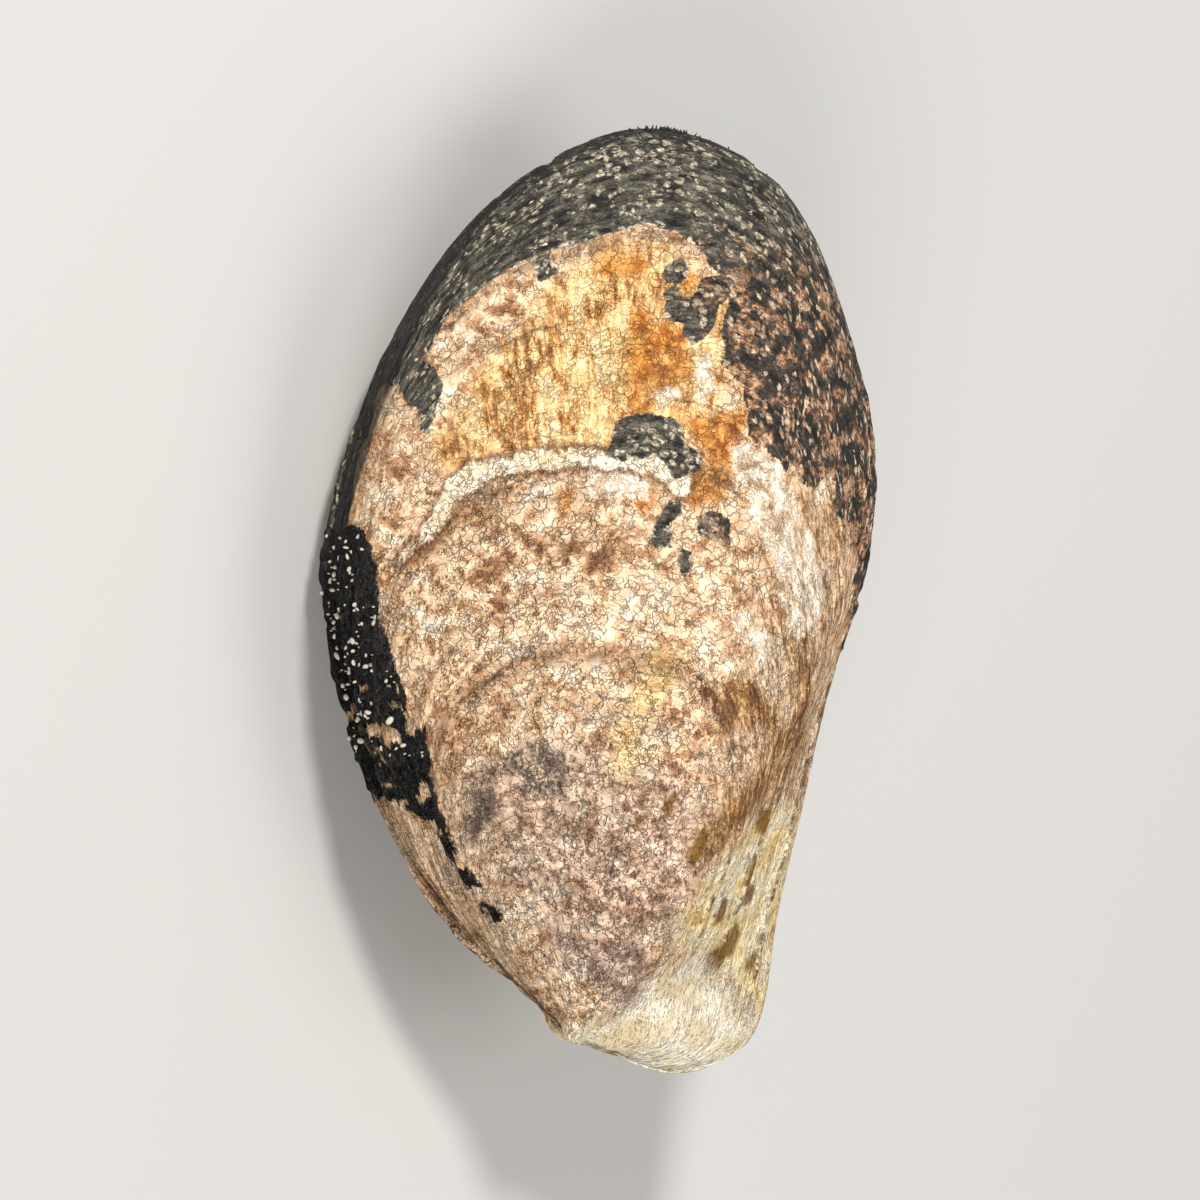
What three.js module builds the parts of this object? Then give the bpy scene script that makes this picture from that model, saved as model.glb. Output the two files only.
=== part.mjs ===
// A closed mussel shell: two mirror-image valves joined along the back by the dried ligament.
// It lies on its right valve. Millimetres, +Z up, +Y towards the hind end, +X towards the belly edge.
//
// Each valve is drawn the way it grows. The growth line at the edge is shrunk towards the beak
// while it turns about the coiling axis, so every older growth line lies in a steeper plane.
import * as THREE from "three";

// Edge of both valves, seen square to the plane between them. It runs from the beaks up the back,
// round the hind end and down the belly edge to the front lobe. The beaks are at [0, 0].
const MARGIN = [
  [2, 0], [-11.5, 13], [-23, 34], [-28, 55], [-23.5, 77.5], [-11.5, 97.5], [8, 108],
  [25, 102.5], [35, 82], [37.5, 66.5], [31.5, 39.5], [26, 16], [22, -1], [12.5, -4.5],
];
const COIL_AXIS = THREE.MathUtils.degToRad(-35); // direction of the coiling axis in that plane
const EDGE_RATE = 0.16; // shrinkage of the growth line per radian of coiling, at the edge
const BODY_RATE = 2.35; // the same over the body of the valve
const EDGE_SPAN = 0.24; // radians of coiling over which the first rate gives way to the second
const BEAK_TURN = 2.7; // radians of coiling from the edge to the tip of the beak
const CAVITY_TURN = 1.0; // radians of coiling from the edge to the top of the hollow

// The back swells out past the edge. Fractions of the length of the edge, counted from the beaks.
const SWELL = 3.2; // most that it stands out
const SWELL_TURN = 0.18; // radians of coiling from the edge to where it stands out most
const SWELL_OPENS = [0.03, 0.13];
const SWELL_CLOSES = [0.3, 0.46];

const WALL = 2.2; // thickness of a valve
const WALL_LIMIT = 2.5; // most that a shallow slope may widen the wall, in walls
const CLEARANCE = 0.3; // gap between neighbouring bodies

// The hinge, in the same fractions.
const HINGE_OPENS = [0.0, 0.07]; // where the valves draw apart to make room for the ligament
const HINGE_CLOSES = [0.16, 0.25];
const HINGE_LIFT = 1.0; // how far each valve stands off there
const LIGAMENT_SPAN = [0.03, 0.22];
const LIGAMENT_DEPTH = 2.0; // how far the ligament reaches in between the valves
const LIGAMENT_PROUD = 0.5; // how far it stands out

// How the pair lies when it is at rest.
const REST_ROLL = THREE.MathUtils.degToRad(-22.5); // about the long axis
const REST_PITCH = THREE.MathUtils.degToRad(-2.4); // about the crosswise axis
const WORN_DEPTH = 0.5; // how much is worn off the lowest spot of the right valve
const WORN_RISE = 0.5; // and how far up from the worn flat the surface is drawn down to it

const COLUMNS = 52; // points along the edge
const OUTER_ROWS = 24; // growth lines on the outside
const INNER_ROWS = 10; // and in the hollow
const LIGAMENT_STATIONS = 16;

const axisAlong = new THREE.Vector2(Math.cos(COIL_AXIS), Math.sin(COIL_AXIS));
const axisAcross = new THREE.Vector2(-axisAlong.y, axisAlong.x);
const marginCurve = makeMarginCurve();

function makeMarginCurve() {
  const points = MARGIN.map(([x, y]) => new THREE.Vector3(x, y, 0));
  const curve = new THREE.CatmullRomCurve3(points, true, "centripetal");
  curve.arcLengthDivisions = 800;
  return curve;
}

// The point of the edge at a fraction of its length, with its outward normal, the lift of the
// hinge and the swelling of the back there.
function edgePoint(fraction) {
  const point = marginCurve.getPointAt(fraction);
  const tangent = marginCurve.getTangentAt(fraction);
  return {
    position: new THREE.Vector2(point.x, point.y),
    normal: new THREE.Vector2(-tangent.y, tangent.x),
    lift: HINGE_LIFT * openAndClose(fraction, HINGE_OPENS, HINGE_CLOSES),
    swell: SWELL * openAndClose(fraction, SWELL_OPENS, SWELL_CLOSES),
  };
}

function openAndClose(fraction, opens, closes) {
  const closing = 1 - THREE.MathUtils.smoothstep(fraction, ...closes);
  return THREE.MathUtils.smoothstep(fraction, ...opens) * closing;
}

// Size of the growth line that has coiled through this turn, against the edge.
function growthScale(turn) {
  const settling = (BODY_RATE - EDGE_RATE) * EDGE_SPAN * (1 - Math.exp(-turn / EDGE_SPAN));
  return Math.exp(settling - BODY_RATE * turn);
}

function growthRate(turn) {
  return BODY_RATE - (BODY_RATE - EDGE_RATE) * Math.exp(-turn / EDGE_SPAN);
}

function swellShare(turn) {
  const share = turn / SWELL_TURN;
  return share ** 2 * Math.exp(2 - 2 * share);
}

// Turns a point of the plane between the valves about the coiling axis, for the left valve, and
// lifts and swells it as its place along the edge asks.
function coil(point, turn, { normal, lift, swell }) {
  const along = point.dot(axisAlong);
  const across = point.dot(axisAcross);
  const height = across * Math.sin(turn) + CLEARANCE / 2 + lift * growthScale(turn);
  const plan = axisAlong.clone().multiplyScalar(along);
  plan.addScaledVector(axisAcross, across * Math.cos(turn));
  plan.addScaledVector(normal, swell * swellShare(turn));
  return new THREE.Vector3(plan.x, plan.y, height);
}

function outerRing(edge, turn) {
  const scale = growthScale(turn);
  return edge.map((station) => coil(station.position.clone().multiplyScalar(scale), turn, station));
}

// The inside of the wall under the same growth line, measured inwards square to the surface.
function innerRing(edge, turn) {
  const scale = growthScale(turn);
  const middle = meanPosition(edge).multiplyScalar(scale);
  return edge.map((station) => {
    const { position, normal } = station;
    const spoke = position.clone().multiplyScalar(scale).sub(middle);
    const slope = (growthRate(turn) * position.dot(normal)) / position.dot(axisAcross);
    const inset = WALL * Math.min(WALL_LIMIT, Math.hypot(1, slope));
    const kept = Math.max(0.2, 1 - inset / spoke.length());
    return coil(spoke.multiplyScalar(kept).add(middle), turn, station);
  });
}

function meanPosition(edge) {
  const sum = new THREE.Vector2();
  edge.forEach(({ position }) => sum.add(position));
  return sum.divideScalar(edge.length);
}

function ringCentre(ring) {
  const sum = new THREE.Vector3();
  ring.forEach((point) => sum.add(point));
  return sum.divideScalar(ring.length);
}

// A closed body over a row of rings, with a tip at each end.
function skinRings(rings) {
  const size = rings[0].length;
  const points = [ringCentre(rings[0]), ...rings.flat(), ringCentre(rings[rings.length - 1])];
  const lastTip = points.length - 1;
  const at = (row, column) => 1 + row * size + (column % size);
  const faces = [];
  for (let column = 0; column < size; column += 1) {
    faces.push(0, at(0, column + 1), at(0, column));
    for (let row = 0; row < rings.length - 1; row += 1) {
      faces.push(at(row, column), at(row, column + 1), at(row + 1, column + 1));
      faces.push(at(row, column), at(row + 1, column + 1), at(row + 1, column));
    }
    faces.push(lastTip, at(rings.length - 1, column), at(rings.length - 1, column + 1));
  }
  return { points, faces };
}

// The left valve: from the tip of the beak out to the edge, over the edge and back up the hollow.
function leftValve() {
  const edge = [];
  for (let column = 0; column < COLUMNS; column += 1) {
    edge.push(edgePoint(column / COLUMNS));
  }
  const rings = [];
  for (let row = OUTER_ROWS; row >= 0; row -= 1) {
    rings.push(outerRing(edge, BEAK_TURN * (row / OUTER_ROWS) ** 1.5));
  }
  for (let row = 0; row <= INNER_ROWS; row += 1) {
    rings.push(innerRing(edge, CAVITY_TURN * (row / INNER_ROWS) ** 1.3));
  }
  return skinRings(rings);
}

function mirrored({ points, faces }) {
  const across = points.map((point) => new THREE.Vector3(point.x, point.y, -point.z));
  return { points: across, faces: faces.toReversed() };
}

// The ligament fills the slit between the lifted edges and shows as a low bead along the back.
function ligament() {
  const [from, to] = LIGAMENT_SPAN;
  const rings = [];
  for (let station = 0; station <= LIGAMENT_STATIONS; station += 1) {
    const fraction = from + ((to - from) * station) / LIGAMENT_STATIONS;
    rings.push(ligamentSection(edgePoint(fraction)));
  }
  return skinRings(rings);
}

function ligamentSection({ position, normal, lift }) {
  const half = lift - CLEARANCE / 2;
  const profile = [
    [LIGAMENT_PROUD, 0], [0.7 * LIGAMENT_PROUD, 0.7 * half], [0, half], [-0.8 * LIGAMENT_DEPTH, half],
    [-LIGAMENT_DEPTH, 0],
    [-0.8 * LIGAMENT_DEPTH, -half], [0, -half], [0.7 * LIGAMENT_PROUD, -0.7 * half],
  ];
  return profile.map(([out, height]) => {
    return new THREE.Vector3(position.x + normal.x * out, position.y + normal.y * out, height);
  });
}

// Lays the bodies in the resting position, centred on the origin, and wears the lowest spot flat.
function layDown(bodies) {
  const rest = new THREE.Euler(REST_PITCH, REST_ROLL, 0, "XYZ");
  bodies.forEach(({ points }) => points.forEach((point) => point.applyEuler(rest)));
  const box = new THREE.Box3().setFromPoints(bodies.flatMap(({ points }) => points));
  const centre = box.getCenter(new THREE.Vector3());
  const drop = new THREE.Vector3(-centre.x, -centre.y, -box.min.z - WORN_DEPTH);
  bodies.forEach(({ points }) => points.forEach((point) => {
    point.add(drop);
    if (point.z < WORN_RISE) {
      point.z = 0;
    }
  }));
}

function makeMesh(name, { points, faces }, material) {
  const geometry = new THREE.BufferGeometry().setFromPoints(points);
  geometry.setIndex(faces);
  geometry.computeVertexNormals();
  const mesh = new THREE.Mesh(geometry, new THREE.MeshStandardMaterial(material));
  mesh.name = name;
  return mesh;
}

const left = leftValve();
const right = mirrored(leftValve());
const band = ligament();
layDown([left, right, band]);

const shell = new THREE.Group();
shell.name = "mussel_shell";
shell.add(makeMesh("left_valve", left, { color: 0xb59a78, roughness: 0.75, metalness: 0 }));
shell.add(makeMesh("right_valve", right, { color: 0xab9070, roughness: 0.75, metalness: 0 }));
shell.add(makeMesh("ligament", band, { color: 0x1d1512, roughness: 0.45, metalness: 0 }));

export default shell;
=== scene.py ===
"""Looks of a closed, weathered mussel shell: two valves and the dried ligament between them.

Shapes are worked out in millimetres in the shell's own frame: the plane z = 0 lies between the
valves, the beaks are at the origin, +Y runs to the hind end and +X to the belly edge. The left
valve is above the plane. lay_down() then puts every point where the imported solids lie.
"""
import math

import bpy
import numpy as np
from mathutils import Matrix, Vector


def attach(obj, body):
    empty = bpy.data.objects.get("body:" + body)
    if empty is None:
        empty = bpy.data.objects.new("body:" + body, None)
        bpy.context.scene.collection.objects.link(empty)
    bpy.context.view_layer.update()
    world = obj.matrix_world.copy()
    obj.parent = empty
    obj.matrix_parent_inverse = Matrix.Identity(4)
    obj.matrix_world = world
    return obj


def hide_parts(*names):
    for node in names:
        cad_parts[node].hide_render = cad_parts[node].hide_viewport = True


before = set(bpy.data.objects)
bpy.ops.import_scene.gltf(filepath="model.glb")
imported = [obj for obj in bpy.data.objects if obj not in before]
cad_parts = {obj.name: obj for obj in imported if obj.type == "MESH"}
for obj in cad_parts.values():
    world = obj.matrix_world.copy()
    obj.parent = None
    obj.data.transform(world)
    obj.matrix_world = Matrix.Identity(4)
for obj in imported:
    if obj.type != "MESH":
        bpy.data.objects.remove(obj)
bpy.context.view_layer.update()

# ---------------------------------------------------------------- driving dimensions, millimetres

METRES = 0.001
MARGIN = [
    (2, 0), (-11.5, 13), (-23, 34), (-28, 55), (-23.5, 77.5), (-11.5, 97.5), (8, 108),
    (25, 102.5), (35, 82), (37.5, 66.5), (31.5, 39.5), (26, 16), (22, -1), (12.5, -4.5),
]
COIL_AXIS = math.radians(-35)  # direction of the coiling axis in the plane between the valves
EDGE_RATE = 0.16  # shrinkage of the growth line per radian of coiling, at the edge
BODY_RATE = 2.35  # the same over the body of the valve
EDGE_SPAN = 0.24  # radians over which the first rate gives way to the second
BEAK_TURN = 2.7  # radians of coiling from the edge to the tip of the beak
CAVITY_TURN = 1.0  # radians of coiling from the edge to the top of the hollow
SWELL = 3.2  # most that the back stands out past the edge
SWELL_TURN = 0.18  # radians of coiling from the edge to where it stands out most
SWELL_OPENS = (0.03, 0.13)  # fractions of the length of the edge, counted from the beaks
SWELL_CLOSES = (0.3, 0.46)
WALL = 2.2  # thickness of a valve
WALL_LIMIT = 2.5  # most that a shallow slope may widen the wall, in walls
CLEARANCE = 0.3  # gap between neighbouring bodies
HINGE_OPENS = (0.0, 0.07)  # where the valves draw apart to make room for the ligament
HINGE_CLOSES = (0.16, 0.25)
HINGE_LIFT = 1.0  # how far each valve stands off there
LIGAMENT_SPAN = (0.03, 0.22)
LIGAMENT_DEPTH = 2.0  # how far the ligament reaches in between the valves
LIGAMENT_PROUD = 0.5  # how far it stands out
REST_ROLL = math.radians(-22.5)  # how the pair lies at rest
REST_PITCH = math.radians(-2.4)
BEAK_PLACE = np.array([-3.88, -52.0, 21.67])  # where the beaks come to lie
SHELL_LENGTH = 112.0

COLUMNS = 400  # points along the edge
OUTER_ROWS = 222  # growth lines on the outside
INNER_ROWS = 14  # and in the hollow
FINE_STATIONS = 2000  # points along the edge for the ligament and the threads
RING_RADIUS = 47.0  # of the circle whose length is that of the edge

# The pale domes are partly pale grains and partly painted highlights, the glints of the glossy black skin.
SPECKS = 100  # pale domes on the black skin of each valve
SPECK_RISE = 0.28  # height of a dome
SPECK_SIDES = 12
FRINGE_THREADS = 110  # along the hind edge
TUFT_THREADS = 70
TUFT_PLACE = 0.487  # of the way round the edge
THREAD_ROOT = 0.6  # length of each thread that is under the skin
SKIN_RISE = 0.3  # thickness of the skin
SKIN_LUMPS = 0.16
FLAKE_RISE = 0.75  # of the flakes on the black skin
LIME_RISE = 0.3  # thickness of the chalk and of the pale ridge
WORN_BACK = 0.4  # the relief starts this far under the plain shape

# Growth checks: size of the growth line against the edge, height of the step, its width.
CHECKS = [
    (0.985, 0.22, 0.004), (0.966, 0.26, 0.005), (0.942, 0.3, 0.006), (0.918, 0.28, 0.006),
    (0.884, 0.8, 0.008), (0.815, 0.3, 0.007), (0.745, 0.3, 0.008), (0.664, 1.1, 0.010),
    (0.63, 0.35, 0.007), (0.59, 0.3, 0.008), (0.535, 0.35, 0.008), (0.475, 0.7, 0.012),
    (0.42, 0.35, 0.01), (0.36, 0.3, 0.012), (0.29, 0.35, 0.012), (0.22, 0.3, 0.012),
]

# ---------------------------------------------------------------- outlines of the zones, on the plan

BAND = [
    (-45, 77), (-25.5, 76.5), (-22.5, 77.2), (-20.5, 79.5), (-17.5, 84.5), (-12, 89), (-7.5, 92),
    (-2, 93.5), (5, 95.5), (8, 94.5), (13, 92), (17, 90.5), (14.5, 88), (11.5, 79.5), (13.5, 77),
    (16, 76), (14, 71), (18, 69), (21.5, 65.5), (25.5, 65), (28.5, 62.5), (30.5, 56), (31.5, 46),
    (45, 46), (45, 120), (-45, 120),
]
BACK_STRIP = [(-45, 54), (-26, 54), (-26.5, 63), (-26, 68), (-24, 75), (-20.5, 79.5), (-20, 84), (-45, 84)]
REMNANTS = [
    [(-1, 72.5), (0.5, 73), (5.5, 72.5), (6, 70), (8, 68.5), (8, 67), (6, 66), (5, 67.5), (3, 69), (0, 68),
     (-2, 69)],
    [(4.5, 63), (6, 63), (6, 61.5), (4.5, 61), (4.5, 58.5), (3, 58), (2, 58.5), (3.5, 60)],
    [(8, 61), (9.5, 62), (11.5, 61), (11.5, 59), (10, 58.5), (8.5, 60)],
    [(5.5, 57.5), (7, 57), (7, 55.5), (6, 55)],
    [(7, 91), (8.5, 91.5), (9, 89.5), (7.5, 88.5), (6, 89.5)],
    [(11, 89), (13.5, 89.5), (14.5, 88.5), (11.5, 85.5), (11, 83.5), (8.5, 81.5), (7.5, 82.5), (8, 84),
     (5.5, 85), (6, 87.5), (9.5, 86.5)],
    [(-8, 90.5), (-7, 91.5), (-6, 90), (-7.5, 89)],
    [(-20, 79), (-19, 76.5), (-20, 74), (-21, 71.5), (-21.5, 74), (-22.5, 76.5), (-21.5, 77)],
]
BLACK = [
    (-40, 61), (-27.5, 60.5), (-26.3, 58), (-25.6, 52), (-24.5, 46.5), (-23, 42), (-20.3, 38), (-19.4, 34),
    (-19, 30), (-17.2, 25.5), (-15.2, 22), (-12.8, 18.2), (-10.4, 14.6), (-11, 14.2), (-13.6, 17.8),
    (-16.3, 21.8), (-18.6, 25.4), (-22, 28), (-40, 33),
]
GOLD = [
    (-18, 73), (-12.5, 81.5), (-7.5, 88), (0.5, 93.5), (6.5, 93.5), (14.5, 87), (10, 70), (-1.5, 69.5),
    (-12.5, 68.5), (-19, 66.5), (-21.5, 70),
]
RUST = [
    [(1, 85), (2.5, 85.5), (4, 84), (8, 84), (7.5, 81.5), (8.5, 79.5), (8, 77.5), (4, 74.5), (3, 72),
     (0.5, 74.5), (0.5, 79.5)],
    [(-1, 92), (4.5, 92), (4.5, 89.5), (-2, 89.5)],
    [(7.5, 90), (11, 89.5), (10.5, 87.5), (8, 87)],
    [(5.5, 75), (8, 72.5), (14.5, 74), (15, 77), (16, 75), (13, 70), (12, 66), (10.5, 63), (7, 62.5),
     (6.5, 66), (9, 67), (8.5, 69), (6.5, 71)],
    [(-8, 65), (-6, 65), (-6, 62), (-7.5, 61)],
    [(0, 64), (3.5, 65.5), (3, 62.5), (1, 61.5)],
]
RIDGE = [(-23.5, 57), (-21, 60), (-18, 64.5), (-13.5, 67), (-9.5, 68), (-5, 68), (2, 68), (5, 67), (6, 65)]
CHALK = [
    [(-4, 66.5), (2.5, 66), (2.5, 63.5), (-1, 63.5), (-4, 64)],
    [(11.8, 70), (14.5, 70), (18.2, 68), (21, 63), (24, 57), (25, 49.5), (21, 47.5), (18.4, 52),
     (16.4, 58.5), (13.8, 62.5), (12.2, 66)],
    [(12.5, 51.5), (14, 51), (17, 48), (18, 45), (18.5, 41), (17, 42), (14.5, 46), (12.5, 49.5)],
    [(3, 75.2), (5.5, 76.4), (7.2, 75.6), (4.6, 74)],
    [(8.6, 74), (8.3, 77.5), (9.4, 80.2), (10.9, 79.6), (10.4, 75.5)],
]
GREY = [
    [(-13, 33.5), (-10, 36), (-7.5, 35.5), (-5.5, 32), (-7, 29.5), (-10.5, 30)],
    [(-16.5, 31.5), (-14, 32.5), (-12.5, 28.5), (-12.5, 26.5), (-15, 22.5), (-16, 26)],
    [(0.5, 37), (4, 38), (4, 35.5), (0.5, 35.5)],
]
CREAM = [
    [(2, 47), (5.5, 46.5), (4.5, 41.5), (2, 39.5), (2, 34.5), (0, 30.5), (-2, 32.5), (-1, 38), (0.5, 42)],
]
BROWN = [
    [(10, 41), (12.5, 43.5), (16, 42.5), (19.5, 37.5), (25, 36), (26, 33.5), (20, 33.5), (16, 37.5),
     (11, 37)],
    [(7.5, 22), (9, 26), (14, 30), (20, 34), (22, 32), (16, 27), (11.5, 22)],
    [(20, 49), (22.3, 44), (23.6, 39), (26.5, 35), (25.6, 33), (23.6, 35), (21.8, 38), (21, 43), (19.3, 48)],
]
LILAC = [(-16, 33), (-8, 37), (2, 33), (10, 28), (10, 15), (3, 12), (-7, 14), (-13, 21)]
SLOPE = [(9.5, 12), (8.5, 16.5), (12.5, 21.5), (18, 26), (22.5, 28), (32, 24), (32, 2), (23, 2), (16, 9)]
PURPLE = [(-7, 15.5), (-4, 13.5), (3, 12.5), (6.5, 9.5), (6.5, 6.5), (4.5, 4), (1, 5.5), (-4, 9), (-6, 12)]
UMBO = [(-2, 1), (5.5, 4.5), (6.5, 7.5), (10, 8.5), (12, 10.5), (16, 7.5), (22.5, 1.5), (28, -9), (-8, -9)]
OLIVE = [
    (5, 28.5, 0.8), (2, 27, 0.7), (19.5, 26.5, 1.0), (18.5, 20, 0.9), (19, 17, 1.1), (15, 15, 1.0),
    (18, 11.5, 1.3), (16.5, 10, 1.1), (15.2, 9, 1.4), (14.5, 7.5, 1.0), (21.5, 9, 0.8), (9.2, 23.5, 1.3),
]


# ---------------------------------------------------------------- noise

def smoothstep(value, low, high):
    part = np.clip((value - low) / (high - low), 0, 1)
    return part * part * (3 - 2 * part)


def scatter(cell, seed):
    """A repeatable number from 0 to 1 for each whole-number cell."""
    whole = cell.astype(np.int64)
    mixed = whole[..., 0] * 73856093 ^ whole[..., 1] * 19349663 ^ whole[..., 2] * 83492791
    mixed = (mixed ^ (seed * 2654435761)) & 0xFFFFFFFF
    mixed = ((mixed >> 15) ^ mixed) * 0x2C1B3C6D & 0xFFFFFFFF
    mixed = ((mixed >> 12) ^ mixed) * 0x297A2D39 & 0xFFFFFFFF
    return ((mixed >> 15) ^ mixed) / 0xFFFFFFFF


def value_noise(points, size, seed):
    """Smooth noise from -1 to 1 with lumps of about the given size."""
    scaled = points / size
    cell = np.floor(scaled)
    part = scaled - cell
    part = part * part * (3 - 2 * part)
    total = 0
    for corner in np.ndindex(2, 2, 2):
        weight = np.prod(np.where(corner, part, 1 - part), axis=-1)
        total = total + weight * scatter(cell + corner, seed)
    return 2 * total - 1


def fractal(points, size, seed, octaves=3):
    total = 0
    for octave in range(octaves):
        total = total + value_noise(points, size / 2 ** octave, seed + octave) / 2 ** octave
    return total / (2 - 2 / 2 ** octaves)


def pebbles(points, size, seed):
    """Distance to the nearest of a set of scattered points, in sizes, and that point's number."""
    scaled = points / size
    cell = np.floor(scaled)
    nearest = np.full(len(points), 9.0)
    number = np.zeros(len(points))
    for step in np.ndindex(3, 3, 3):
        other = cell + step - 1
        jitter = np.stack([scatter(other, seed + axis) for axis in range(3)], axis=-1)
        distance = np.linalg.norm(other + jitter - scaled, axis=-1)
        closer = distance < nearest
        nearest = np.where(closer, distance, nearest)
        number = np.where(closer, scatter(other, seed + 7), number)
    return nearest, number


# ---------------------------------------------------------------- growth of a valve

def margin_points(count):
    """The edge as a centripetal Catmull-Rom loop, at even spacing, with its outward normals."""
    points = np.array(MARGIN, float)
    pieces = []
    share = np.linspace(0, 1, 60, endpoint=False)[:, None]
    for index in range(len(points)):
        before, start, end, after = (points[(index + k) % len(points)] for k in (-1, 0, 1, 2))
        gaps = [np.linalg.norm(b - a) ** 0.5 for a, b in ((before, start), (start, end), (end, after))]
        leave = (start - before) / gaps[0] - (end - before) / (gaps[0] + gaps[1])
        leave = (leave + (end - start) / gaps[1]) * gaps[1]
        arrive = (end - start) / gaps[1] - (after - start) / (gaps[1] + gaps[2])
        arrive = (arrive + (after - end) / gaps[2]) * gaps[1]
        bend = 3 * (end - start) - 2 * leave - arrive
        twist = 2 * (start - end) + leave + arrive
        pieces.append(start + leave * share + bend * share ** 2 + twist * share ** 3)
    loop = np.vstack(pieces + [pieces[0][:1]])
    length = np.concatenate([[0], np.cumsum(np.linalg.norm(np.diff(loop, axis=0), axis=1))])
    stations = np.linspace(0, length[-1], count, endpoint=False)
    edge = np.stack([np.interp(stations, length, loop[:, axis]) for axis in (0, 1)], axis=1)
    tangent = np.roll(edge, -1, axis=0) - np.roll(edge, 1, axis=0)
    normal = np.stack([-tangent[:, 1], tangent[:, 0]], axis=1)
    return edge, normal / np.linalg.norm(normal, axis=1, keepdims=True)


def growth_scale(turn):
    settling = (BODY_RATE - EDGE_RATE) * EDGE_SPAN * (1 - np.exp(-turn / EDGE_SPAN))
    return np.exp(settling - BODY_RATE * turn)


def growth_rate(turn):
    return BODY_RATE - (BODY_RATE - EDGE_RATE) * np.exp(-turn / EDGE_SPAN)


def swell_share(turn):
    share = turn / SWELL_TURN
    return share ** 2 * np.exp(2 - 2 * share)


def open_and_close(fraction, opens, closes):
    return smoothstep(fraction, *opens) * (1 - smoothstep(fraction, *closes))


def hinge_lift(fraction):
    return HINGE_LIFT * open_and_close(fraction, HINGE_OPENS, HINGE_CLOSES)


def coil(plan, turn, normal, fraction):
    """Turns points of the plane between the valves about the coiling axis, then lifts and swells them."""
    axis = np.array([math.cos(COIL_AXIS), math.sin(COIL_AXIS)])
    across_axis = np.array([-axis[1], axis[0]])
    along = plan @ axis
    across = plan @ across_axis
    swell = SWELL * open_and_close(fraction, SWELL_OPENS, SWELL_CLOSES) * swell_share(turn)
    flat = along[..., None] * axis + (across * np.cos(turn))[..., None] * across_axis
    flat = flat + swell[..., None] * normal
    height = across * np.sin(turn) + CLEARANCE / 2 + hinge_lift(fraction) * growth_scale(turn)
    return np.concatenate([flat, height[..., None]], axis=-1)


def outer_surface(edge, normal, turns, fraction):
    scale = growth_scale(turns)[:, None, None]
    return coil(edge * scale, turns[:, None], normal, fraction)


def inner_surface(edge, normal, turns, fraction):
    scale = growth_scale(turns)[:, None, None]
    middle = edge.mean(axis=0) * scale
    spoke = edge * scale - middle
    across = edge @ np.array([-math.sin(COIL_AXIS), math.cos(COIL_AXIS)])
    slope = growth_rate(turns)[:, None] * np.sum(edge * normal, axis=-1) / across
    inset = WALL * np.minimum(WALL_LIMIT, np.hypot(1, slope))
    kept = np.maximum(0.2, 1 - inset / np.linalg.norm(spoke, axis=-1))
    return coil(spoke * kept[..., None] + middle, turns[:, None], normal, fraction)


def surface_normals(grid):
    along = np.roll(grid, -1, axis=1) - np.roll(grid, 1, axis=1)
    upward = np.gradient(grid, axis=0)
    normal = np.cross(along, upward)
    return normal / (np.linalg.norm(normal, axis=-1, keepdims=True) + 1e-9)


def lay_down(points, side):
    """Millimetres of the shell's own frame, for the left (1) or right (-1) valve, to the resting place."""
    x, y, z = points[..., 0], points[..., 1], points[..., 2] * side
    rolled_x = x * math.cos(REST_ROLL) + z * math.sin(REST_ROLL)
    rolled_z = z * math.cos(REST_ROLL) - x * math.sin(REST_ROLL)
    pitched_y = y * math.cos(REST_PITCH) - rolled_z * math.sin(REST_PITCH)
    pitched_z = y * math.sin(REST_PITCH) + rolled_z * math.cos(REST_PITCH)
    placed = np.stack([rolled_x, pitched_y, pitched_z], axis=-1) + BEAK_PLACE
    placed[..., 2] = np.maximum(placed[..., 2], 0)
    return placed * METRES


# ---------------------------------------------------------------- where things are on a valve

def growth_age(size, fraction):
    """The size a growth line is named by. The lines climb from the crest towards the hinge."""
    climb = np.clip((0.48 - fraction) / 0.2, 0, 1.1) ** 1.3
    return size - 0.12 * np.clip((1 - size) / 0.12, 0, 1) * climb


def distance_to_path(plan, path):
    nearest = np.full(len(plan), 1e9)
    for start, end in zip(np.array(path[:-1]), np.array(path[1:])):
        run = end - start
        share = np.clip((plan - start) @ run / (run @ run), 0, 1)
        nearest = np.minimum(nearest, np.linalg.norm(plan - start - share[:, None] * run, axis=1))
    return nearest


def within(plan, outline):
    """Distance in millimetres to a closed outline, above 0 inside it and below 0 outside."""
    x, y = plan[:, 0], plan[:, 1]
    inside = np.zeros(len(plan), bool)
    closed = outline + outline[:1]
    for (start_x, start_y), (end_x, end_y) in zip(closed[:-1], closed[1:]):
        if start_y != end_y:
            crossing = start_x + (y - start_y) * (end_x - start_x) / (end_y - start_y)
            inside ^= ((start_y > y) != (end_y > y)) & (x < crossing)
    distance = distance_to_path(plan, closed)
    return np.where(inside, distance, -distance)


def within_any(plan, outlines):
    return np.max([within(plan, outline) for outline in outlines], axis=0)


def skin_zone(plan, bent, ring, drift, moved, belly, side, seed):
    """The grey skin near the edge: ragged on the belly side, with bare islands in it."""
    skin = within(plan + (0.3 + 1.2 * belly[:, None]) * moved, BAND) + 2.5 * drift * belly
    if side < 0:
        skin = np.maximum(skin, within(bent, BACK_STRIP))
    low_belly = belly * smoothstep(plan[:, 1], 88, 72)  # where the skin is most broken
    islands = 0.8 * fractal(ring, 2.4, seed + 21, 2) + 0.4 * drift
    skin = np.minimum(skin, 0.25 + 3.2 * (islands + 0.72 - 0.42 * low_belly))
    if side > 0:
        return np.maximum(skin, within_any(bent, REMNANTS) + 0.35)
    return np.maximum(skin, within_any(bent + [4, -11], REMNANTS[:6]))


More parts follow.
